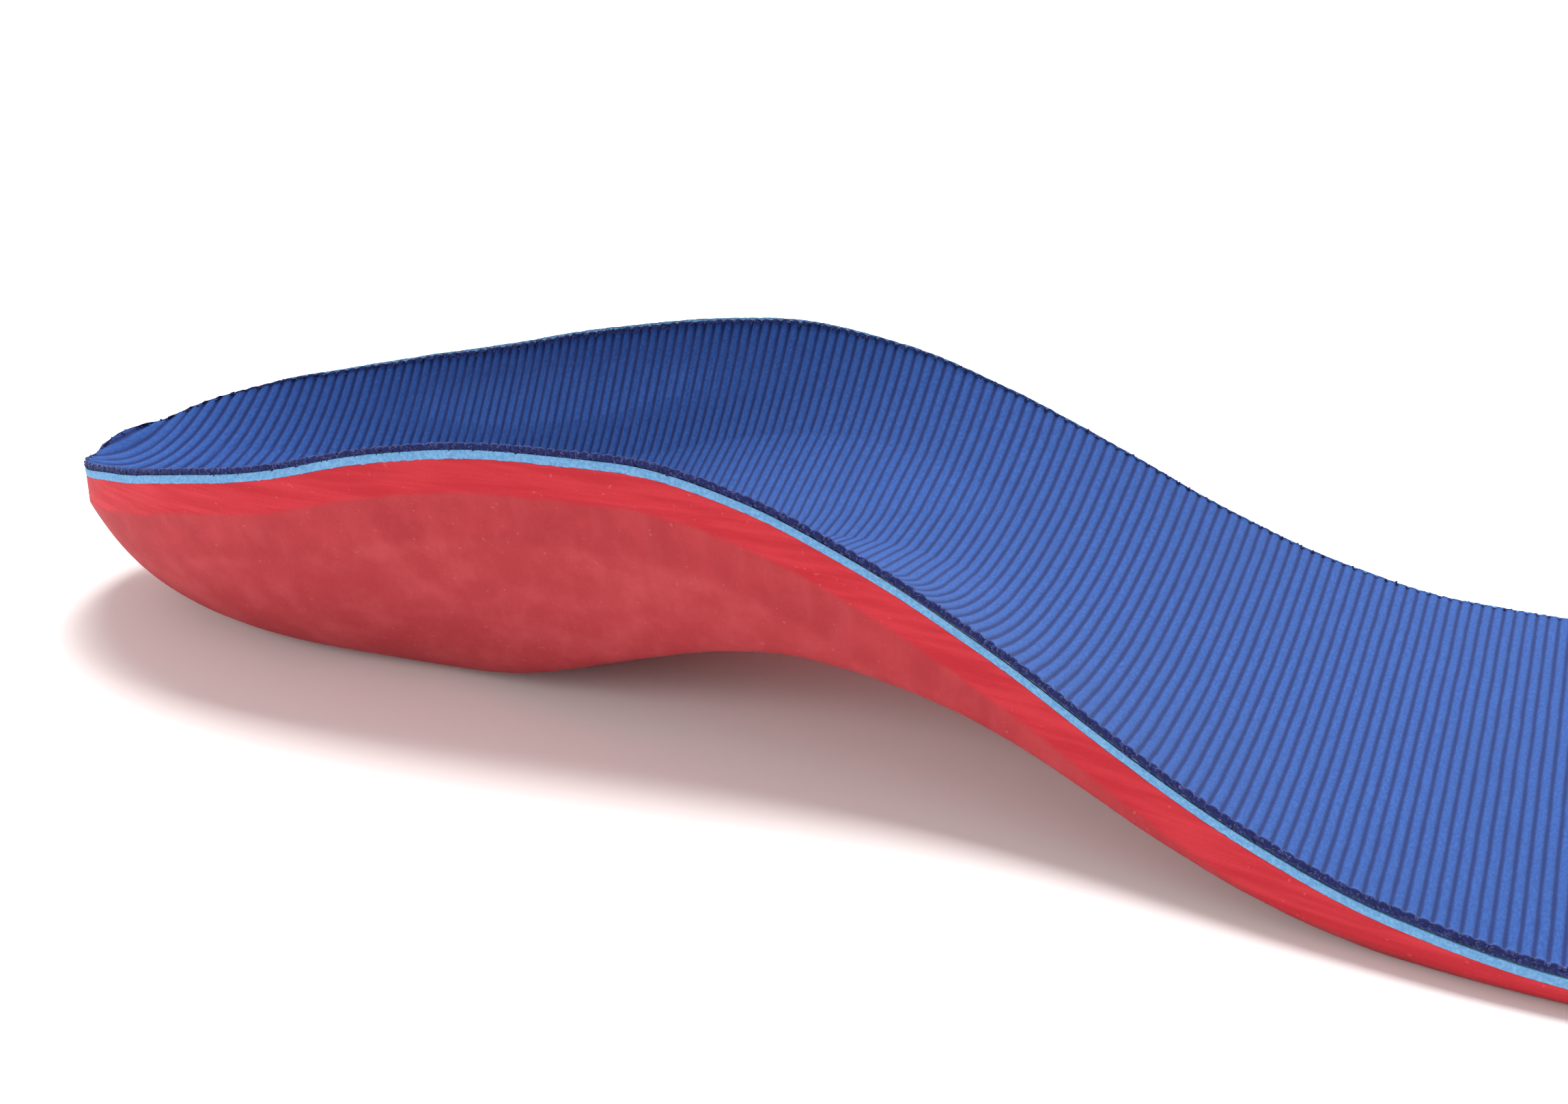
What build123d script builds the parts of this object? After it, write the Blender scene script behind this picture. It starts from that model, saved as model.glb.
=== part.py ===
from build123d import *

import os
from math import hypot

# Full-length cushioned insole for a left foot: knit top cover, cushion foam and moulded EVA base.
# Frame: origin on the ground under the centre of the heel seat, +X to the toe, +Y to the outer
# (lateral) side of the foot, +Z up. Millimetres.

# Driving dimensions
length = 270.0  # heel back to toe tip
heel_depth = 45.0  # heel back to the centre of the heel seat, where the heel is widest
heel_width = 60.6
waist_width = 58.6  # across the arch, at its narrowest
ball_width = 85.0
toe_offset = -4.0  # the toe tip lies towards the big toe

cover_thickness = 1.0  # ribbed knit
cover_film_thickness = 0.1  # hot-melt web between knit and foam
foam_thickness = 1.0
base_film_thickness = 0.1  # cement between foam and base

heel_floor = 4.4  # base thickness under the heel
forefoot_base = 2.6  # base thickness from the ball to the toe
arch_crown = 18.5  # base top over the ground in the middle of the arch
heel_back_rim = 17.2  # base rim heights over the ground
arch_rim = 36.2
cut_band = 4.5  # upright trimmed band below the rim
band_share = 0.6  # of the rim's height where the base is thinner than that
heel_bowl_inset = 17.5  # from the outline to the edge of the heel's ground patch
forefoot_inset = 2.0  # the same, from the ball to the toe
arch_clearance = 16.2  # ground to the base's lower edge at the top of the arch
arch_fill = 0.37  # how far the base fills the arch again towards its middle
wall_power = 2.1  # shape of the bowl's wall: 1 is straight, more is rounder at the foot

# Half widths along the foot: share of the length, inner (medial) side, outer (lateral) side
half_widths = [
    (heel_depth / length, 0.500 * heel_width, 0.500 * heel_width),
    (0.28, 0.472 * heel_width, 0.512 * heel_width),
    (0.39, 0.451 * waist_width, 0.549 * waist_width),
    (0.50, 0.480 * waist_width, 0.594 * waist_width),
    (0.61, 0.423 * ball_width, 0.464 * ball_width),
    (0.72, 0.486 * ball_width, 0.513 * ball_width),
    (0.82, 0.470 * ball_width, 0.516 * ball_width),
    (0.91, 0.385 * ball_width, 0.425 * ball_width),
    (0.965, 0.262 * ball_width, 0.258 * ball_width),
]
# Rim of the base: share of the length, inner side, outer side
rim_heights = [
    (0.0, heel_back_rim, heel_back_rim),
    (0.03, 1.20 * heel_back_rim, 1.14 * heel_back_rim),
    (0.09, 1.47 * heel_back_rim, 1.31 * heel_back_rim),
    (0.165, 1.72 * heel_back_rim, 1.56 * heel_back_rim),
    (0.225, 0.93 * arch_rim, 0.86 * arch_rim),
    (0.30, arch_rim, 0.96 * arch_rim),
    (0.335, 0.995 * arch_rim, 0.98 * arch_rim),
    (0.39, 0.92 * arch_rim, 0.925 * arch_rim),
    (0.445, 0.773 * arch_rim, 0.79 * arch_rim),
    (0.50, 0.58 * arch_rim, 0.60 * arch_rim),
    (0.555, 0.39 * arch_rim, 0.39 * arch_rim),
    (0.61, 0.238 * arch_rim, 0.22 * arch_rim),
    (0.667, 1.85 * forefoot_base, 1.55 * forefoot_base),
    (0.74, 1.08 * forefoot_base, 1.04 * forefoot_base),
    (0.82, forefoot_base, forefoot_base),
]
# Middle of the base's top, from the heel seat over the arch to the ball
floor_heights = [
    (heel_depth / length, heel_floor),
    (0.22, 1.30 * heel_floor),
    (0.28, 0.53 * arch_crown),
    (0.335, 0.80 * arch_crown),
    (0.39, 0.97 * arch_crown),
    (0.425, arch_crown),
    (0.47, 0.94 * arch_crown),
    (0.52, 0.74 * arch_crown),
    (0.565, 0.51 * arch_crown),
    (0.61, 0.315 * arch_crown),
    (0.667, 1.30 * forefoot_base),
    (0.74, 1.02 * forefoot_base),
    (0.82, forefoot_base),
]
# Steepness of the cup's wall across the foot: 2 is a round dish, more is a flat floor
cup_powers = [(heel_depth / length, 2.8), (0.30, 2.6), (0.42, 2.1), (0.55, 2.0)]
# Lower edge of the base over the hollow of the arch; below zero it is under the ground
hollow_heights = [
    (0.185, -0.06 * arch_clearance),
    (0.215, 0.01 * arch_clearance),
    (0.24, 0.08 * arch_clearance),
    (0.27, 0.24 * arch_clearance),
    (0.305, 0.50 * arch_clearance),
    (0.345, 0.77 * arch_clearance),
    (0.38, 0.94 * arch_clearance),
    (0.41, arch_clearance),
    (0.44, 0.965 * arch_clearance),
    (0.48, 0.85 * arch_clearance),
    (0.515, 0.69 * arch_clearance),
    (0.55, 0.50 * arch_clearance),
    (0.585, 0.31 * arch_clearance),
    (0.62, 0.15 * arch_clearance),
    (0.65, 0.05 * arch_clearance),
    (0.68, -0.03 * arch_clearance),
    (0.72, -0.10 * arch_clearance),
]
# Inset of the ground patch from the outline
patch_insets = [
    (0.20, heel_bowl_inset),
    (0.30, 0.80 * heel_bowl_inset),
    (0.40, 0.50 * heel_bowl_inset),
    (0.50, 0.28 * heel_bowl_inset),
    (0.62, forefoot_inset),
]

outline_samples = 20  # points of each outline that the wall runs through
wall_levels = [0.0, 3.0, 12.0, 40.0]
grid_step = 5.0  # spacing of the points that carry the free surfaces
grid_margin = 8.0  # how far those surfaces run past the outline
hollow_reach = (0.2, 0.75)  # shares of the length between which the underside can be hollow
solid_height = 60.0  # taller than anything here


def share(x):
    """Share of the length at x, from 0 at the heel's back."""
    return (x + heel_depth) / length


def smooth(stations, at, column=1):
    """Monotone cubic through a column of the stations, level past both ends."""
    xs = [row[0] for row in stations]
    ys = [row[column] for row in stations]
    if at <= xs[0]:
        return ys[0]
    if at >= xs[-1]:
        return ys[-1]
    slopes = [(b - a) / (q - p) for a, b, p, q in zip(ys, ys[1:], xs, xs[1:])]
    tangents = [0.0]
    for left, right in zip(slopes, slopes[1:]):
        tangents.append(0.0 if left * right <= 0 else 2 * left * right / (left + right))
    tangents.append(0.0)
    i = max(k for k, x in enumerate(xs) if x <= at)
    step = xs[i + 1] - xs[i]
    t = (at - xs[i]) / step
    return (
        ys[i] * (1 + 2 * t) * (1 - t) ** 2
        + ys[i + 1] * t * t * (3 - 2 * t)
        + step * (tangents[i] * t * (1 - t) ** 2 - tangents[i + 1] * t * t * (1 - t))
    )


def side_column(y):
    """Column of a station row: 1 is the inner side of the foot, 2 the outer."""
    return 1 if y < 0 else 2


def reach(x, y):
    """How far (x, y) lies from the middle of the foot: 1 is on the outline."""
    across = abs(y) / smooth(half_widths, share(x), side_column(y))
    return across if x >= 0 else hypot(x / heel_depth, across)


def rim_height(x, y):
    """Height of the base's rim, eased from the inner to the outer side across the foot."""
    at = share(x)
    across = max(-1.0, min(1.0, y / smooth(half_widths, at, side_column(y))))
    ease = (2 + across * (3 - across * across)) / 4
    inner, outer = (smooth(rim_heights, at, column) for column in (1, 2))
    return inner + (outer - inner) * ease


def top_height(x, y):
    """Top of the base: a cup at the heel, a saddle over the arch, flat under the toes."""
    floor = smooth(floor_heights, share(x))
    power = smooth(cup_powers, share(x))
    out = reach(x, y)
    bend = out**power if out <= 1 else 1 + power * (out - 1)
    return floor + (rim_height(x, y) - floor) * bend


def hollow_height(x, y):
    """Underside of the arch: highest along the edges, filled a little in the middle."""
    return smooth(hollow_heights, share(x)) * (1 - arch_fill * (1 - reach(x, y) ** 2))


def free_surface(height, half_width, start, end):
    """Sheet between two shares of the length, whose points stand at height(x, y)."""
    low = start * length - heel_depth
    rows = round((end - start) * length / grid_step)
    columns = round(2 * half_width / grid_step)
    grid = []
    for i in range(rows + 1):
        x = low + i * (end - start) * length / rows
        ys = [-half_width + j * 2 * half_width / columns for j in range(columns + 1)]
        grid.append([(x, y, height(x, y)) for y in ys])
    return Face.make_surface_from_array_of_points(grid)


def edge_stations(column, sign):
    return [(row[0] * length - heel_depth, sign * row[column]) for row in half_widths]


toe = (length - heel_depth, toe_offset)
with BuildLine() as inner_edge:
    EllipticalCenterArc((0, 0), heel_depth, heel_width / 2, 180, arc_size=90)
    Spline(*edge_stations(1, -1), toe, tangents=[(1, 0), (0, 1)], tangent_scalars=[1, 1])
with BuildLine() as outer_edge:
    EllipticalCenterArc((0, 0), heel_depth, heel_width / 2, 180, arc_size=-90)
    Spline(*edge_stations(2, 1), toe, tangents=[(1, 0), (0, -1)], tangent_scalars=[1, 1])
with BuildSketch() as outline:
    with BuildLine():
        add(inner_edge.line)
        add(outer_edge.line)
    make_face()

margin = grid_margin / length
top_sheet = free_surface(top_height, ball_width / 2 + grid_margin, -margin, 1 + margin)
hollow_sheet = free_surface(hollow_height, ball_width / 2 + grid_margin, *hollow_reach)


def wall_inset(x, y, z):
    """Inset of the base's wall from the outline at height z; negative stands outside it."""
    rim = rim_height(x, y)
    wall_top = max(rim - cut_band, band_share * rim)
    return smooth(patch_insets, share(x)) * (1 - (z / wall_top) ** (1 / wall_power))


def wall_points(edge, z, turn):
    """Points of the base's wall at height z, from the heel's back to the toe."""
    wire = edge.wire()
    points = []
    for i in range(outline_samples + 1):
        spot = wire @ (i / outline_samples)
        inward = Vector(0, 0, turn).cross(wire % (i / outline_samples))
        spot = spot + inward * wall_inset(spot.X, turn * -abs(spot.Y), z)
        points.append((spot.X, spot.Y))
    return points


def layer(below, thickness, name):
    """One bonded sheet: as thick as stated, straight up, on everything below it."""
    with BuildPart() as sheet:
        extrude(top_sheet.moved(Location((0, 0, below))), amount=thickness, dir=(0, 0, 1))
        extrude(outline.sketch, amount=solid_height, mode=Mode.INTERSECT)
    sheet.part.label = name
    return sheet


# Base: a bowl under the heel, cut to the outline, dished on top and hollow under the arch
with BuildPart() as base:
    for z in wall_levels:
        with BuildSketch(Plane.XY.offset(z)):
            with BuildLine():
                Spline(*wall_points(inner_edge, z, 1), tangents=[(0, -1), (0, 1)], tangent_scalars=[1, 1])
                Spline(*wall_points(outer_edge, z, -1), tangents=[(0, 1), (0, -1)], tangent_scalars=[1, 1])
            make_face()
    loft()
    extrude(outline.sketch, amount=solid_height, mode=Mode.INTERSECT)
    extrude(top_sheet, amount=2 * solid_height, dir=(0, 0, -1), mode=Mode.INTERSECT)
    extrude(hollow_sheet, amount=2 * solid_height, dir=(0, 0, -1), mode=Mode.SUBTRACT)
base.part.label = "base"

base_film = layer(0, base_film_thickness, "base_bond_film")
cushion_foam = layer(base_film_thickness, foam_thickness, "cushion_foam")
foam_top = base_film_thickness + foam_thickness
cover_film = layer(foam_top, cover_film_thickness, "cover_bond_film")
top_cover = layer(foam_top + cover_film_thickness, cover_thickness, "top_cover")

os.makedirs("parts", exist_ok=True)
for piece in (base, base_film, cushion_foam, cover_film, top_cover):
    export_step(piece.part, f"parts/{piece.part.label}.step")
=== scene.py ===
"""Cushioned insole: ribbed knit and thin foam bonded on a moulded foam base, built round the CAD frame.

Every sheet of the laminate is laid over one sampled bed, the top of the base, so that the
sheets stack as the solids do. Metres, +X to the toe, +Y to the outer side of the foot.
"""

import math

import bpy
import numpy as np
from mathutils import Matrix, Vector, noise
from mathutils.bvhtree import BVHTree


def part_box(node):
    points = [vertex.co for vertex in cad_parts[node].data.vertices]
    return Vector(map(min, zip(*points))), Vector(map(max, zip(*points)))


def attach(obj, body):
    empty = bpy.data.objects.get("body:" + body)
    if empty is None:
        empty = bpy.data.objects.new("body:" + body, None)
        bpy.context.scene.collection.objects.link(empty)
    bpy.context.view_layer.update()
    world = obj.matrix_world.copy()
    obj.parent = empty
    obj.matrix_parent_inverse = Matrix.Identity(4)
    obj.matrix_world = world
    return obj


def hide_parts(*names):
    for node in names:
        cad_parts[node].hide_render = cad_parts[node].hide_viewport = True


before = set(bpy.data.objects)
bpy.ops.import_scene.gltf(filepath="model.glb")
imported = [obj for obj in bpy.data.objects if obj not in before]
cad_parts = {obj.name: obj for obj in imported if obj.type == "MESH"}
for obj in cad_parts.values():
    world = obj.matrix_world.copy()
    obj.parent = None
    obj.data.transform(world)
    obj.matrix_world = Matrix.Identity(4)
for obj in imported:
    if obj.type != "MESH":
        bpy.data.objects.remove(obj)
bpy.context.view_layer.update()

MM = 0.001
BODY = "root"

# Rows across the foot
RIB_PITCH = 1.38 * MM
END_ZONE = 4.0 * MM  # rows crowd together this close to the heel's back and the toe's tip
END_ROWS = 22
INNER_ZONE = 30.0 * MM
PULLS = (0.006, 0.012)  # shares of the way to the middle at which heights are read
SMOOTHING = 1.2 * MM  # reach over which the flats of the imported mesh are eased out
END_SMOOTHING = 0.2  # the same as a share of the distance from the heel's back or toe's tip

# Knit cover
RIB_DEPTH = 0.17 * MM
RIB_WANDER = 0.10 * MM  # how far a rib strays from its line
CUT_ROUGHNESS = 0.26 * MM  # lumps of the cut edge
CUT_REACH = 0.55 * MM  # how far in from the rim the cut yarns show on top
YARN_STEP = 0.46 * MM
YARN_RADIUS = 0.20 * MM
YARN_LENGTH = 1.25 * YARN_RADIUS
YARN_SCATTER = 0.16 * MM
YARN_ROWS = [  # name, height as a share of the knit's thickness, how far outside the rim, seed
    ("cut_yarns_low", 0.3, -0.04 * MM, 3),
    ("cut_yarns_high", 0.75, -0.06 * MM, 11),
]
FIBRE_STEP = 0.33 * MM
FIBRE_LENGTH = 0.55 * MM
FIBRE_RADIUS = 0.012 * MM
FIBRE_SCATTER = 0.3 * MM
FIBRE_LEVEL = 0.7
FIBRE_OUT = 0.05 * MM

# Cushion foam and films
FOAM_RAGGED = 0.09 * MM
FOAM_BULGE = 0.05 * MM
FOAM_SPREAD = 0.09 * MM  # the cut foam spreads down over the film's edge
FILM_INSET = 0.6 * MM
KNIT_INSET = 0.22 * MM  # the knit is cut back a little from the foam
OUTER_RISE = 1.05 * MM  # on the outer side the foam is cut on a slant and stands up outside the knit

# Base
TRIM_BAND = 4.3 * MM  # freshly trimmed band under the rim
TRIM_SHARE = 0.62  # of the rim's height, where the base is thinner than that band
LEAST_BASE = 0.2 * MM

# Camera, as far from its target as the view needs
TARGET = Vector((55.5 * MM, 0, 17.1 * MM))
AZIMUTH = 21.25
ELEVATION = 22.94
DISTANCE = 265.18 * MM
ROLL = 0.15
LENS = 48.47


def srgb(code):
    """Linear colour of a hex code."""
    parts = [int(code[i : i + 2], 16) / 255 for i in (0, 2, 4)]
    return (*(c / 12.92 if c <= 0.04045 else ((c + 0.055) / 1.055) ** 2.4 for c in parts), 1.0)


# ---------------------------------------------------------------- node graphs


class Wire:
    """A socket that takes part in arithmetic: each operation adds its Math node."""

    def __init__(self, graph, socket):
        self.graph = graph
        self.socket = socket

    def math(self, operation, first, second):
        return self.graph.add(
            "ShaderNodeMath", {"operation": operation}, {"Value": first, "Value_001": second}
        )

    def __add__(self, other):
        return self.math("ADD", self, other)

    __radd__ = __add__

    def __sub__(self, other):
        return self.math("SUBTRACT", self, other)

    def __rsub__(self, other):
        return self.math("SUBTRACT", other, self)

    def __mul__(self, other):
        return self.math("MULTIPLY", self, other)

    __rmul__ = __mul__

    def __truediv__(self, other):
        return self.math("DIVIDE", self, other)


class Graph:
    """A shader or geometry tree, with one method for every node it needs."""

    def __init__(self, tree):
        self.tree = tree

    @staticmethod
    def find(sockets, key):
        if isinstance(key, int):
            return sockets[key]
        exact = [s for s in sockets if s.enabled and s.identifier == key]
        return (exact or [s for s in sockets if s.enabled and s.name == key])[0]

    def join(self, value, socket):
        if isinstance(value, Wire):
            self.tree.links.new(value.socket, socket)
        else:
            socket.default_value = value

    def add(self, kind, settings=None, sockets=None, out=0):
        node = self.tree.nodes.new(kind)
        for name, value in (settings or {}).items():
            if name == "stops":
                ramp = node.color_ramp
                while len(ramp.elements) < len(value):
                    ramp.elements.new(1.0)
                for element, (place, colour) in zip(ramp.elements, value):
                    element.position = place
                    element.color = colour
            else:
                setattr(node, name, value)
        for key, value in (sockets or {}).items():
            self.join(value, self.find(node.inputs, key))
        return Wire(self, self.find(node.outputs, out)) if len(node.outputs) else node

    def between(self, value, low, high):
        """0 below low, 1 above high, eased between."""
        settings = {"interpolation_type": "SMOOTHSTEP"}
        sockets = {"Value": value, "From Min": low, "From Max": high}
        return self.add("ShaderNodeMapRange", settings, sockets)

    def grain(self, place, scale, detail=2.0, roughness=0.5, stretch=(1, 1, 1)):
        """Noise from 0 to 1 whose lumps are about 1/scale across."""
        if stretch != (1, 1, 1):
            place = self.add("ShaderNodeVectorMath", {"operation": "MULTIPLY"}, {0: place, 1: stretch})
        sockets = {"Vector": place, "Scale": scale, "Detail": detail, "Roughness": roughness}
        return self.add("ShaderNodeTexNoise", None, sockets)

    def blend(self, factor, first, second):
        sockets = {"Factor_Float": factor, "A_Color": first, "B_Color": second}
        return self.add("ShaderNodeMix", {"data_type": "RGBA"}, sockets, "Result_Color")


class Finish(Graph):
    """A Principled material whose colour, roughness and bump are worked out by its own graph."""

    def __init__(self, name, **constants):
        self.material = bpy.data.materials.new(name)
        self.material.use_nodes = True
        super().__init__(self.material.node_tree)
        self.shader = self.tree.nodes["Principled BSDF"]
        for key, value in constants.items():
            self.shader.inputs[key.replace("_", " ")].default_value = value
        self.place = self.add("ShaderNodeTexCoord", out="Object")

    def attribute(self, name):
        return self.add("ShaderNodeAttribute", {"attribute_name": name}, out="Fac")

    def finish(self, colour, roughness, relief, height):
        """relief, from 0 to 1, stands up to height metres."""
        self.join(colour, self.shader.inputs["Base Color"])
        self.join(roughness, self.shader.inputs["Roughness"])
        bump = self.add("ShaderNodeBump", None, {"Height": relief, "Distance": height, "Strength": 1.0})
        self.join(bump, self.shader.inputs["Normal"])
        return self.material


# ---------------------------------------------------------------- materials


def knit_finish():
    knit = Finish("ribbed_knit", Sheen_Weight=0.25, Sheen_Roughness=0.45, Specular_IOR_Level=0.15)
    knit.shader.inputs["Sheen Tint"].default_value = srgb("a9c2f2")
    rib = knit.attribute("rib")
    cut = knit.attribute("cut")
    yarn = knit.grain(knit.place, 2600, 3, 0.6, (1.6, 0.55, 1))
    comb = knit.grain(knit.place, 900, 2, 0.5, (1, 0.35, 1))
    cloud = knit.grain(knit.place, 60, 3)
    crest = knit.blend(knit.between(yarn, 0.3, 0.75), srgb("1a3873"), srgb("284a88"))
    crest = knit.blend(knit.between(cloud, 0.35, 0.75) * 0.35, crest, srgb("1f3d74"))
    # Painted shade in the grooves: between the ribs the colour drops to a much darker navy, partly for the
    # darker threads there and partly for the shade the grooves hold.
    cloth_with_groove_shade = knit.blend(knit.between(rib + (comb - 0.5) * 0.5, 0.0, 1.0), srgb("112152"), crest)
    speck = knit.between(knit.grain(knit.place, 1500, 1), 0.72, 0.8)
    cut_yarn = knit.blend(speck * 0.5, srgb("1a2050"), srgb("5a6076"))
    colour = knit.blend(knit.between(cut, 0.15, 0.8), cloth_with_groove_shade, cut_yarn)
    return knit.finish(colour, 0.86 + yarn * 0.1, yarn * 0.6 + comb * 0.4, 0.09 * MM)


def cut_yarn_finish():
    yarn = Finish("cut_yarn", Sheen_Weight=0.2, Specular_IOR_Level=0.15)
    lumps = yarn.grain(yarn.place, 1800, 2)
    colour = yarn.blend(yarn.between(lumps, 0.3, 0.7), srgb("141a44"), srgb("2b3672"))
    sparkle = yarn.between(yarn.grain(yarn.place, 2400, 1), 0.68, 0.78)
    colour = yarn.blend(sparkle * 0.55, colour, srgb("6d6f80"))
    return yarn.finish(colour, 0.9, lumps, 0.08 * MM)


def fibre_finish():
    fibre = Finish("loose_fibre", Specular_IOR_Level=0.3)
    tone = fibre.grain(fibre.place, 700, 1)
    colour = fibre.blend(fibre.between(tone, 0.42, 0.6), srgb("2a366e"), srgb("8b93b4"))
    return fibre.finish(colour, 0.7, tone, 0.01 * MM)


def cushion_finish():
    foam = Finish("light_blue_foam", Specular_IOR_Level=0.2)
    cells = foam.grain(foam.place, 2600, 2, 0.6)
    cloud = foam.grain(foam.place, 220, 2)
    colour = foam.blend(foam.between(cells, 0.3, 0.75), srgb("5486b4"), srgb("719fc4"))
    colour = foam.blend(foam.between(cloud, 0.4, 0.8) * 0.3, colour, srgb("5484ac"))
    return foam.finish(colour, 0.85 + cells * 0.1, cells, 0.08 * MM)


def film_finish():
    film = Finish("bond_film")
    web = film.grain(film.place, 900, 2)
    colour = film.blend(film.between(web, 0.4, 0.6), srgb("d8d8d0"), srgb("ecebe4"))
    return film.finish(colour, 0.45 + web * 0.1, web, 0.03 * MM)


def base_finish():
    """Red foam: a fresh trimmed band under the rim, then a duller moulded skin with a faint facet."""
    foam = Finish("moulded_red_foam", Specular_IOR_Level=0.22)
    depth = foam.attribute("depth")
    cells = foam.grain(foam.place, 2400, 3, 0.6)
    blotch = foam.grain(foam.place, 160, 4, 0.6)
    streak = foam.grain(foam.place, 420, 3, 0.5, (1, 1, 0.16))
    sanding = foam.grain(foam.place, 700, 2, 0.5, (0.12, 0.12, 1.5))
    wander = (blotch - 0.5) * 0.22
    band = foam.blend(foam.between(sanding, 0.3, 0.7), srgb("a61f2a"), srgb("b42b35"))
    skin = foam.blend(foam.between(blotch, 0.3, 0.7), srgb("962a31"), srgb("a23339"))
    # A paler, pinker red low on the wall, below a faint facet line.
    low_wall_tone = foam.blend(foam.between(blotch, 0.35, 0.75), srgb("9d3036"), srgb("aa3f44"))
    skin = foam.blend(foam.between(streak, 0.45, 0.8) * 0.35, skin, srgb("a84046"))
    skin = foam.blend(foam.between(depth + wander, 2.35, 2.75), skin, low_wall_tone)
    colour = foam.blend(foam.between(depth + wander, 0.92, 1.16), band, skin)
    light_speck = foam.between(foam.grain(foam.place, 1700, 0), 0.8, 0.83)
    colour = foam.blend(light_speck * 0.35, colour, srgb("b8595c"))
    relief = cells * 0.6 + streak * 0.2 + blotch * 0.2
    return foam.finish(colour, 0.62 + cells * 0.2 + blotch * 0.1, relief, 0.10 * MM)


def floor_finish():
    floor = Finish("plain_floor", Specular_IOR_Level=0.1)
    tone = floor.grain(floor.place, 4, 2)
    return floor.finish(floor.blend(tone, srgb("f4f2f1"), srgb("f7f5f4")), 0.9, tone, 0.01 * MM)


# ---------------------------------------------------------------- sampling the frame


def ray_tree(node):
    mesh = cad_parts[node].data
    return BVHTree.FromPolygons([v.co for v in mesh.vertices], [p.vertices for p in mesh.polygons])


def height_at(tree, x, y, down):
    """Where a vertical ray meets the solid, or None outside it."""
    start, way = (0.2, -1) if down else (-0.1, 1)
    spot = tree.ray_cast(Vector((x, y, start)), Vector((0, 0, way)))[0]
    return None if spot is None else spot.z


def edge_at(tree, x, middle, side):
    """Where the outline lies at x on one side, by halving the gap."""
    inside, outside = middle, middle + side * 0.07
    for _ in range(18):
        y = (inside + outside) / 2
        if height_at(tree, x, y, True) is None:
            outside = y
        else:
            inside = y
    return inside


def eased(values, x):
    """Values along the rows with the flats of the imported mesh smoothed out."""
    span = np.minimum(x - x[0], x[-1] - x)
    reach = np.minimum(SMOOTHING, END_SMOOTHING * span) + 1e-6
    weights = np.exp(-0.5 * ((x[None] - x[:, None]) / reach[:, None]) ** 2)
    steps = np.gradient(x)
    weights *= steps[None]
    weights /= weights.sum(1)[:, None]
    return weights @ values


def across_eased(grid):
    grid = grid.copy()
    grid[:, 1:-1] = (grid[:, :-2] + 2 * grid[:, 1:-1] + grid[:, 2:]) / 4
    return grid


class Rows:
    """Rows across the foot: their x, both ends of each, and points spread along them."""

    def __init__(self, rows_per_rib, columns, inset=0.0):
        low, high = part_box("base")
        self.low, self.high = low, high
        step = RIB_PITCH / rows_per_rib
        ends = END_ZONE * ((np.arange(END_ROWS) + 0.4) / END_ROWS) ** 2
        first = math.ceil((low.x + END_ZONE) / step)
        last = math.floor((high.x - END_ZONE) / step)
        self.x = np.concatenate([low.x + ends, np.arange(first, last + 1) * step, (high.x - ends)[::-1]])
        tree = ray_tree("base")
        corners = np.array([v.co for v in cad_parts["base"].data.vertices])
        tip = corners[corners[:, 0] > high.x - 0.3 * MM, 1].mean()
        middle = tip * ((self.x - low.x) / (high.x - low.x)) ** 2
        near = eased(np.array([edge_at(tree, x, y, -1) for x, y in zip(self.x, middle)]), self.x)
        far = eased(np.array([edge_at(tree, x, y, 1) for x, y in zip(self.x, middle)]), self.x)
        share = (1 + np.sin(np.linspace(-math.pi / 2, math.pi / 2, columns))) / 2
        self.y = near[:, None] + (far - near)[:, None] * share[None]
        centre = ((near + far) / 2)[:, None]
        middle_x = (low.x + high.x) / 2
        self.y = centre + (self.y - centre) * (1 - 2 * inset / (high.y - low.y))
        self.x = middle_x + (self.x - middle_x) * (1 - 2 * inset / (high.x - low.x))

    def heights(self, tree, down):
        """Heights of a solid's top or underside, read a little way in and carried out to the rim."""
        grid = np.empty_like(self.y)
        middle = (self.y[:, 0] + self.y[:, -1]) / 2
        inner = np.clip(self.x, self.low.x + INNER_ZONE, self.high.x - INNER_ZONE)
        for i, (x, x_in, y_in) in enumerate(zip(self.x, inner, middle)):
            for j, y in enumerate(self.y[i]):
                found = []
                for pull in PULLS:
                    found.append(height_at(tree, x + (x_in - x) * pull, y + (y_in - y) * pull, down))
                grid[i, j] = 2 * found[0] - found[1]
        for i in range(3, len(grid) - 3):
            grid[i] = np.median(grid[i - 3 : i + 4], axis=0)
        return across_eased(across_eased(eased(grid, self.x)))


# ---------------------------------------------------------------- meshes


def rim_spots(rows, columns, kept):
    """Row and column of the rim's points, from the heel along the near side and back."""
    near = [(i, 0) for i in range(rows)]
    tip = [(rows - 1, j) for j in kept[1:-1]]
    far = [(i, columns - 1) for i in reversed(range(rows))]
    back = [(0, j) for j in reversed(kept[1:-1])]
    return near + tip + far + back


def outward_of(spots):
    along = np.roll(spots, -1, 0) - np.roll(spots, 1, 0)
    out = np.stack([along[:, 1], -along[:, 0]], 1)
    return out / np.maximum(np.linalg.norm(out, axis=1), 1e-12)[:, None]


def new_piece(name, verts, faces, edges=()):
    mesh = bpy.data.meshes.new(name)
    mesh.from_pydata([tuple(map(float, v)) for v in verts], list(edges), faces)
    if faces:
        mesh.shade_smooth()
    piece = bpy.data.objects.new(name, mesh)
    bpy.context.scene.collection.objects.link(piece)
    return piece


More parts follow.
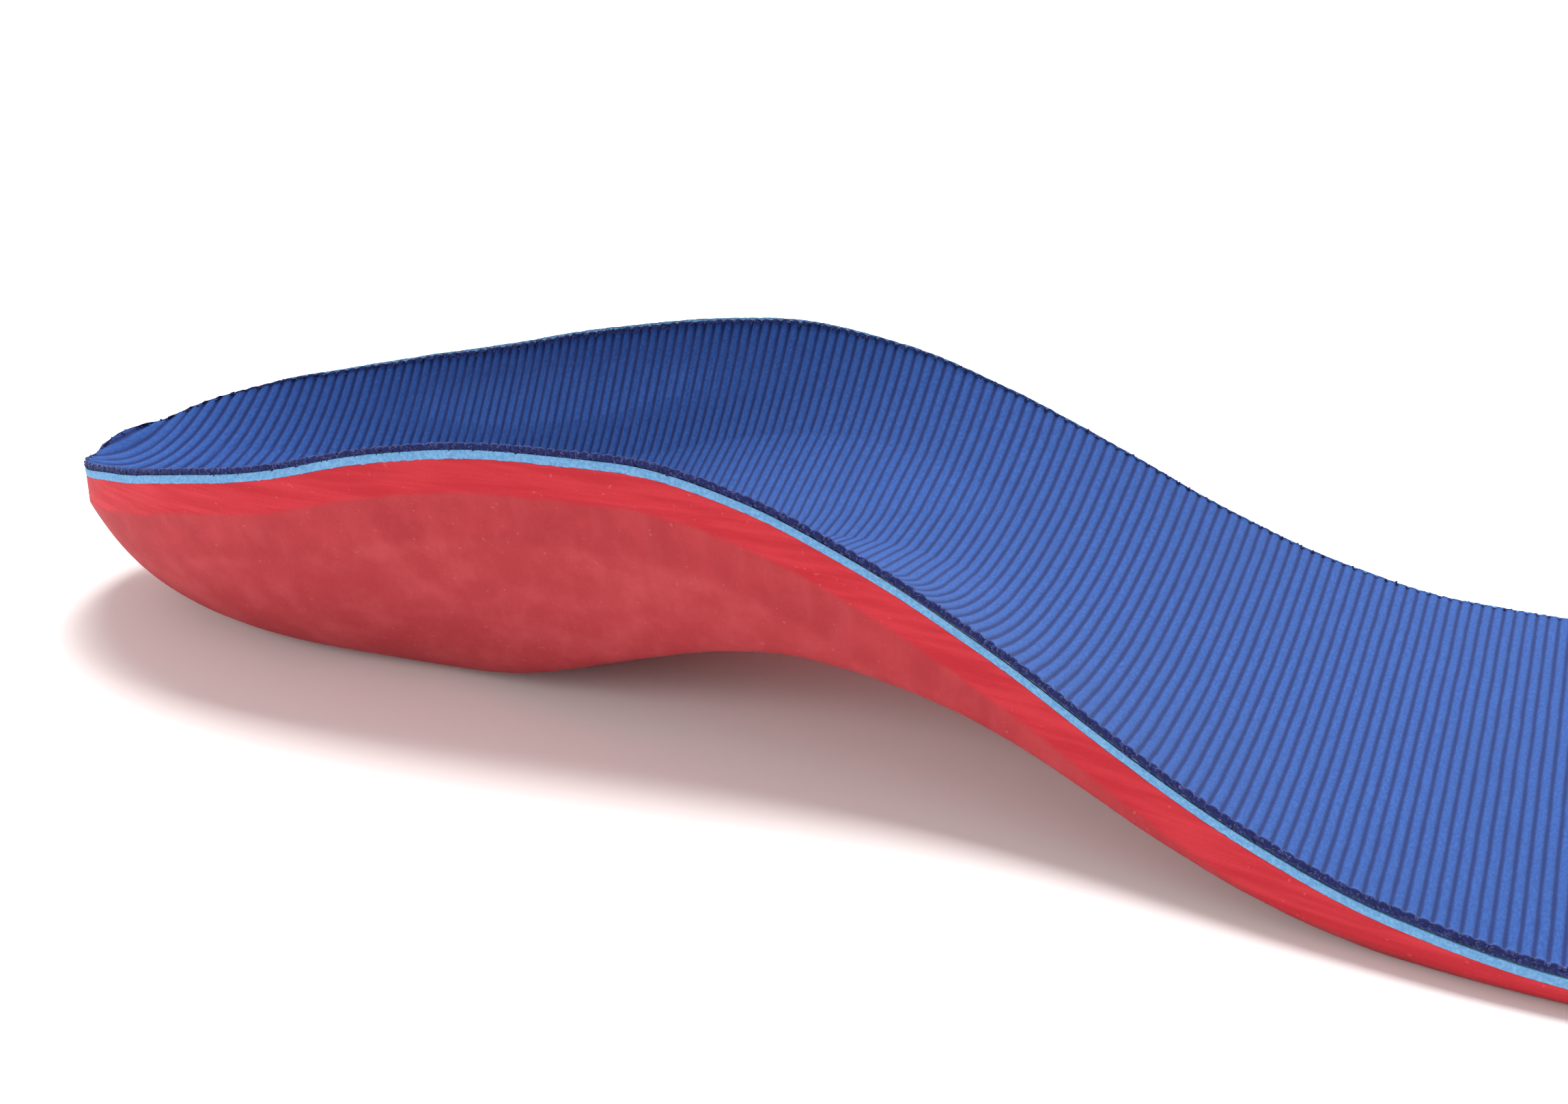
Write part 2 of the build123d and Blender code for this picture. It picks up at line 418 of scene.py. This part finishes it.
def laminate(name, rows, under, top, levels, shift=None, coarser=1):
    """Closed sheet between two height grids, with extra levels of points up its rim.

    shift(spot, out, share) moves a rim point, whose share is 0 at the foot and 1 on top.
    coarser leaves that many columns between those of the underside. Returns the piece and,
    for every point, how far up the rim it lies: None off the rim.
    """
    n, m = top.shape
    kept = list(range(0, m, coarser))
    verts = [(rows.x[i], rows.y[i, j], top[i, j]) for i in range(n) for j in range(m)]
    under_at = {}
    for i in range(n):
        for j in kept:
            under_at[i, j] = len(verts)
            verts.append((rows.x[i], rows.y[i, j], under[i, j]))
    faces = []
    for i in range(n - 1):
        for j in range(m - 1):
            a, b = i * m + j, (i + 1) * m + j
            faces.append((a, b, b + 1, a + 1))
        for j, k in zip(kept, kept[1:]):
            faces.append((under_at[i, j], under_at[i, k], under_at[i + 1, k], under_at[i + 1, j]))
    loop = rim_spots(n, m, kept)
    outs = outward_of(np.array([(rows.x[i], rows.y[i, j]) for i, j in loop]))
    shares = {}
    ladders = []
    for (i, j), out in zip(loop, outs):
        foot, head = under[i, j], top[i, j]
        ladder = [under_at[i, j]]
        for level in levels:
            ladder.append(len(verts))
            verts.append((rows.x[i], rows.y[i, j], foot + (head - foot) * level))
        ladder.append(i * m + j)
        ladders.append(ladder)
        for share, index in zip((0.0, *levels, 1.0), ladder):
            shares[index] = share
            if shift:
                verts[index] = shift(Vector(verts[index]), Vector((*out, 0)), share)
    for spot in range(len(loop)):
        a, b = ladders[spot], ladders[(spot + 1) % len(loop)]
        for k in range(len(a) - 2):
            faces.append((a[k], b[k], b[k + 1], a[k + 1]))
        (i, j), (p, q) = loop[spot], loop[(spot + 1) % len(loop)]
        step = 1 if q > j else -1
        passed = [i * m + c for c in range(j + step, q, step)] if i == p and j != q else []
        faces.append((a[-2], b[-2], b[-1], *reversed(passed), a[-1]))
    return new_piece(name, verts, faces), shares


def write_attribute(piece, name, values):
    layer = piece.data.attributes.new(name, "FLOAT", "POINT")
    layer.data.foreach_set("value", np.asarray(values, dtype=np.float32))


def paint(piece, material):
    piece.data.materials.clear()
    piece.data.materials.append(material)


def nearest_rim(rows, rim_height, spots):
    """Height of the rim at the point of it that is nearest to each spot in plan."""
    n, m = rows.y.shape
    loop = rim_spots(n, m, list(range(m)))
    plan = np.array([(rows.x[i], rows.y[i, j]) for i, j in loop])
    height = np.array([rim_height[i, j] for i, j in loop])
    found = np.empty(len(spots))
    for start in range(0, len(spots), 2000):
        part = spots[start : start + 2000, None, :2]
        found[start : start + 2000] = height[((part - plan[None]) ** 2).sum(2).argmin(1)]
    return found


# ---------------------------------------------------------------- geometry trees


def tree_with(name, inputs):
    tree = bpy.data.node_groups.new(name, "GeometryNodeTree")
    tree.interface.new_socket("Geometry", in_out="INPUT", socket_type="NodeSocketGeometry")
    for label, kind in inputs.items():
        tree.interface.new_socket(label, in_out="INPUT", socket_type=kind)
    tree.interface.new_socket("Geometry", in_out="OUTPUT", socket_type="NodeSocketGeometry")
    return tree


def close_tree(graph, geometry):
    material = graph.add("NodeGroupInput", out="Material")
    geometry = graph.add("GeometryNodeRealizeInstances", None, {"Geometry": geometry})
    geometry = graph.add("GeometryNodeSetMaterial", None, {"Geometry": geometry, "Material": material})
    graph.add("NodeGroupOutput", None, {"Geometry": geometry})


def grow(piece, tree, values):
    """Runs a geometry tree on a piece and leaves its result as the piece's plain mesh."""
    modifier = piece.modifiers.new(tree.name, "NODES")
    modifier.node_group = tree
    for item in tree.interface.items_tree:
        if item.in_out == "INPUT" and item.name in values:
            modifier[item.identifier] = values[item.name]
    solved = piece.evaluated_get(bpy.context.evaluated_depsgraph_get())
    mesh = bpy.data.meshes.new_from_object(solved)
    piece.modifiers.clear()
    piece.data = mesh
    mesh.shade_smooth()


FLOAT = "NodeSocketFloat"
SIZES = {"Material": "NodeSocketMaterial"}


def rib_tree():
    """Presses grooves between the ribs, and roughens the cut edge."""
    tree = tree_with("ribs", {"Pitch": FLOAT, "Depth": FLOAT, "Wander": FLOAT, "Cut": FLOAT, **SIZES})
    g = Graph(tree)
    pitch, depth, wander, rough = (
        g.add("NodeGroupInput", out=name) for name in ("Pitch", "Depth", "Wander", "Cut")
    )
    place = g.add("GeometryNodeInputPosition")
    normal = g.add("GeometryNodeInputNormal")
    top = g.add("GeometryNodeInputNamedAttribute", {"data_type": "FLOAT"}, {"Name": "top"})
    cut = g.add("GeometryNodeInputNamedAttribute", {"data_type": "FLOAT"}, {"Name": "cut"})
    stray = (g.grain(place, 90, 1) - 0.5) * 2 * wander + (g.grain(place, 500, 1) - 0.5) * wander
    x = g.add("ShaderNodeSeparateXYZ", None, {"Vector": place}, "X") + stray
    turn = g.add("ShaderNodeMath", {"operation": "FRACT"}, {"Value": x / pitch + 0.5})
    off = g.add("ShaderNodeMath", {"operation": "ABSOLUTE"}, {"Value": turn - 0.5}) * 2
    rib = g.between(off, 0.06, 0.62)
    lumps = g.grain(place, 1500, 2) - 0.5
    lift = (rib - 1 + (1 - off) * -0.25) * depth * top + lumps * 2 * rough * cut + rib * 0.4 * rough * cut
    offset = g.add("ShaderNodeVectorMath", {"operation": "SCALE"}, {"Vector": normal, "Scale": lift})
    moved = g.add(
        "GeometryNodeStoreNamedAttribute",
        {"data_type": "FLOAT", "domain": "POINT"},
        {"Geometry": g.add("NodeGroupInput", out="Geometry"), "Name": "rib", "Value": rib},
    )
    moved = g.add("GeometryNodeSetPosition", None, {"Geometry": moved, "Offset": offset})
    close_tree(g, moved)
    return tree


def along_rim_tree(name, instance):
    """Sets small things along a rim line, each turned, sized and shifted a little by chance."""
    inputs = {"Step": FLOAT, "Radius": FLOAT, "Length": FLOAT, "Scatter": FLOAT}
    tree = tree_with(name, {**inputs, "Seed": "NodeSocketInt", **SIZES})
    g = Graph(tree)
    step, radius, length, scatter, seed = (
        g.add("NodeGroupInput", out=key) for key in ("Step", "Radius", "Length", "Scatter", "Seed")
    )

    def chance(low, high, offset):
        vector = isinstance(low, tuple)
        settings = {"data_type": "FLOAT_VECTOR" if vector else "FLOAT"}
        return g.add("FunctionNodeRandomValue", settings, {"Min": low, "Max": high, "Seed": seed + offset})

    line = g.add("GeometryNodeMeshToCurve", None, {"Mesh": g.add("NodeGroupInput", out="Geometry")})
    points = g.add(
        "GeometryNodeResampleCurve", {"mode": "LENGTH"}, {"Curve": line, "Length": step}, "Curve"
    )
    aside = {"Vector": chance((-1,) * 3, (1,) * 3, 1), "Scale": scatter}
    spread = g.add("ShaderNodeVectorMath", {"operation": "SCALE"}, aside)
    points = g.add("GeometryNodeSetPosition", None, {"Geometry": points, "Offset": spread})
    shape = instance(g, radius, length)
    placed = g.add(
        "GeometryNodeInstanceOnPoints",
        None,
        {
            "Points": points,
            "Instance": shape,
            "Rotation": chance((-math.pi,) * 3, (math.pi,) * 3, 2),
            "Scale": chance((0.65,) * 3, (1.25,) * 3, 3),
        },
    )
    close_tree(g, placed)
    return tree


def yarn_end(g, radius, length):
    """A lump of looped yarn."""
    ball = g.add("GeometryNodeMeshUVSphere", None, {"Segments": 7, "Rings": 5, "Radius": radius})
    stretch = g.add("ShaderNodeCombineXYZ", None, {"X": length / radius, "Y": 1.0, "Z": 1.0})
    return g.add("GeometryNodeTransform", None, {"Geometry": ball, "Scale": stretch})


def fibre(g, radius, length):
    """A loose hair, pointed at its far end."""
    sockets = {"Vertices": 3, "Radius Top": radius * 0.3, "Radius Bottom": radius, "Depth": length}
    return g.add("GeometryNodeMeshCone", {"fill_type": "TRIANGLE_FAN"}, sockets)


# ---------------------------------------------------------------- pieces


def thickness_of(node):
    tree = ray_tree(node)
    return height_at(tree, 0, 0, True) - height_at(tree, 0, 0, False)


def ragged(spot, size, seed):
    """Chance shift from -1 to 1 that changes over size."""
    return noise.noise((spot + Vector((seed, 0, 0))) / size) * 1.6


def make_base(rows, bed):
    under = np.minimum(rows.heights(ray_tree("base"), False), bed - LEAST_BASE)
    under = np.maximum(under, 0.0)
    levels = (0.02, 0.2, 0.4, 0.6, 0.8, 0.98)
    piece, _ = laminate("base_body", rows, under, bed, levels)
    spots = np.array([v.co for v in piece.data.vertices])
    rim = nearest_rim(rows, bed, spots)
    band = np.minimum(TRIM_BAND, TRIM_SHARE * rim)
    write_attribute(piece, "depth", (rim - spots[:, 2]) / band)
    paint(piece, base_finish())
    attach(piece, BODY)
    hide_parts("base")


def make_film(name, node, rows, foot, head, finish):
    piece, _ = laminate(name, rows, foot, head, (0.5,))
    paint(piece, finish)
    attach(piece, BODY)
    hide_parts(node)


def make_cushion(rows, foot, head):
    def cut_edge(spot, out, share):
        rag = ragged(spot, 0.55 * MM, 0.0) + 0.6 * ragged(spot, 1.4 * MM, 3.0)
        drop = -FOAM_SPREAD * (1 - share) ** 2 + (0.35 * FOAM_RAGGED * rag if share in (0, 1) else 0)
        bulge = math.sin(math.pi * share) * FOAM_BULGE
        drop += OUTER_RISE * max(out.y, 0) * share**2
        return spot + out * (bulge + FOAM_RAGGED * rag * 0.5) + Vector((0, 0, drop))

    piece, _ = laminate("cushion_sheet", rows, foot, head, (0.08, 0.3, 0.5, 0.7, 0.92), cut_edge)
    paint(piece, cushion_finish())
    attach(piece, BODY)
    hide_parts("cushion_foam")
    return piece


def rim_line(name, rows, height, out_by):
    """Closed line of edges along the rim, height over the rows' rim grid."""
    n, m = rows.y.shape
    loop = rim_spots(n, m, [0, m // 2, m - 1])
    plan = np.array([(rows.x[i], rows.y[i, j]) for i, j in loop])
    plan = plan + outward_of(plan) * out_by
    verts = [(x, y, height[i, j]) for (x, y), (i, j) in zip(plan, loop)]
    edges = [(k, (k + 1) % len(verts)) for k in range(len(verts))]
    return new_piece(name, verts, [], edges)


def make_cover(rows, foot, head):
    def rounded(spot, out, share):
        return spot - out * (0.12 * MM * abs(2 * share - 1) ** 4)

    levels = (0.12, 0.3, 0.5, 0.7, 0.88)
    piece, shares = laminate("knit_top_cover", rows, foot, head, levels, rounded, coarser=8)
    spots = np.array([v.co for v in piece.data.vertices])
    n, m = rows.y.shape
    edge = np.minimum(rows.y - rows.y[:, :1], rows.y[:, -1:] - rows.y)
    ends = np.minimum(rows.x - rows.x[0], rows.x[-1] - rows.x)[:, None]
    inward = np.minimum(edge, np.maximum(ends, 0)).ravel()
    cut = np.zeros(len(spots))
    cut[: n * m] = np.clip(1 - inward / CUT_REACH, 0, 1) * 0.6
    top = np.zeros(len(spots))
    top[: n * m] = 1.0
    for index, share in shares.items():
        cut[index] = min(1.0, 0.4 + 1.6 * share) if share < 1 else 0.8
    write_attribute(piece, "cut", cut)
    write_attribute(piece, "top", top)
    sizes = {"Pitch": RIB_PITCH, "Depth": RIB_DEPTH, "Wander": RIB_WANDER, "Cut": CUT_ROUGHNESS}
    grow(piece, rib_tree(), {**sizes, "Material": knit_finish()})
    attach(piece, BODY)
    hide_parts("top_cover")
    return piece


def make_edge(name, rows, height, out_by, shape, sizes, finish):
    piece = rim_line(name, rows, height, out_by)
    grow(piece, along_rim_tree(name, shape), {**sizes, "Material": finish})
    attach(piece, BODY)


base_rows = Rows(2, 57)
base_bed = base_rows.heights(ray_tree("base"), True)
make_base(base_rows, base_bed)

film_rows = Rows(1, 33, FILM_INSET)
film_bed = film_rows.heights(ray_tree("base"), True)
foam_rows = Rows(4, 33)
foam_bed = foam_rows.heights(ray_tree("base"), True)
cover_rows = Rows(8, 33, KNIT_INSET)
cover_bed = cover_rows.heights(ray_tree("base"), True)

film = thickness_of("base_bond_film")
foam = thickness_of("cushion_foam")
upper_film = thickness_of("cover_bond_film")
knit = thickness_of("top_cover")
foam_top = film + foam
cover_foot = foam_top + upper_film
web = film_finish()
make_film("base_bond", "base_bond_film", film_rows, film_bed, film_bed + film, web)
cushion = make_cushion(foam_rows, foam_bed + film, foam_bed + foam_top)
make_film("cover_bond", "cover_bond_film", film_rows, film_bed + foam_top, film_bed + cover_foot, web)
cover = make_cover(cover_rows, cover_bed + cover_foot, cover_bed + cover_foot + knit)

yarn = cut_yarn_finish()
yarn_sizes = {"Step": YARN_STEP, "Radius": YARN_RADIUS, "Length": YARN_LENGTH, "Scatter": YARN_SCATTER}
for name, level, out_by, seed in YARN_ROWS:
    height = cover_bed + cover_foot + level * knit
    make_edge(name, cover_rows, height, out_by, yarn_end, {**yarn_sizes, "Seed": seed}, yarn)
fibre_sizes = {
    "Step": FIBRE_STEP,
    "Radius": FIBRE_RADIUS,
    "Length": FIBRE_LENGTH,
    "Scatter": FIBRE_SCATTER,
    "Seed": 5,
}
height = cover_bed + cover_foot + FIBRE_LEVEL * knit
make_edge("edge_fibres", cover_rows, height, FIBRE_OUT, fibre, fibre_sizes, fibre_finish())


# ---------------------------------------------------------------- stage, light and camera


def make_floor():
    bpy.ops.mesh.primitive_plane_add(size=6.0, location=(0, 0, 0))
    floor = bpy.context.object
    floor.name = "floor"
    paint(floor, floor_finish())


def make_light(name, place, aim, size, power, colour):
    lamp = bpy.data.lights.new(name, "AREA")
    lamp.shape = "SQUARE"
    lamp.size = size
    lamp.energy = power
    lamp.color = colour
    holder = bpy.data.objects.new(name, lamp)
    holder.location = place
    holder.rotation_euler = (Vector(aim) - Vector(place)).to_track_quat("-Z", "Y").to_euler()
    bpy.context.scene.collection.objects.link(holder)


def make_world():
    world = bpy.data.worlds.new("studio")
    bpy.context.scene.world = world
    world.use_nodes = True
    sky = world.node_tree.nodes["Background"]
    sky.inputs["Color"].default_value = (1.0, 0.99, 0.985, 1)
    sky.inputs["Strength"].default_value = 0.42


def make_camera():
    a, e = math.radians(AZIMUTH), math.radians(ELEVATION)
    back = Vector((math.sin(a) * math.cos(e), -math.cos(a) * math.cos(e), math.sin(e)))
    right = Vector((0, 0, 1)).cross(back).normalized()
    up = back.cross(right)
    turn = Matrix((right, up, back)).transposed() @ Matrix.Rotation(math.radians(ROLL), 3, "Z")
    data = bpy.data.cameras.new("camera")
    data.lens = LENS
    data.sensor_width = 36.0
    data.sensor_fit = "HORIZONTAL"
    data.clip_start = 0.01
    camera = bpy.data.objects.new("camera", data)
    camera.matrix_world = Matrix.Translation(TARGET + back * DISTANCE) @ turn.to_4x4()
    bpy.context.scene.collection.objects.link(camera)
    bpy.context.scene.camera = camera


make_floor()
make_world()
make_light("overhead", (0.12, 0.42, 0.85), (0.08, 0, 0), 0.75, 25.0, (1.0, 0.99, 0.98))
make_light("front", (-0.45, -0.8, 0.4), (0.03, 0, 0.01), 0.6, 5.0, (1.0, 0.98, 0.97))
bpy.context.scene.view_settings.view_transform = "Standard"
make_camera()
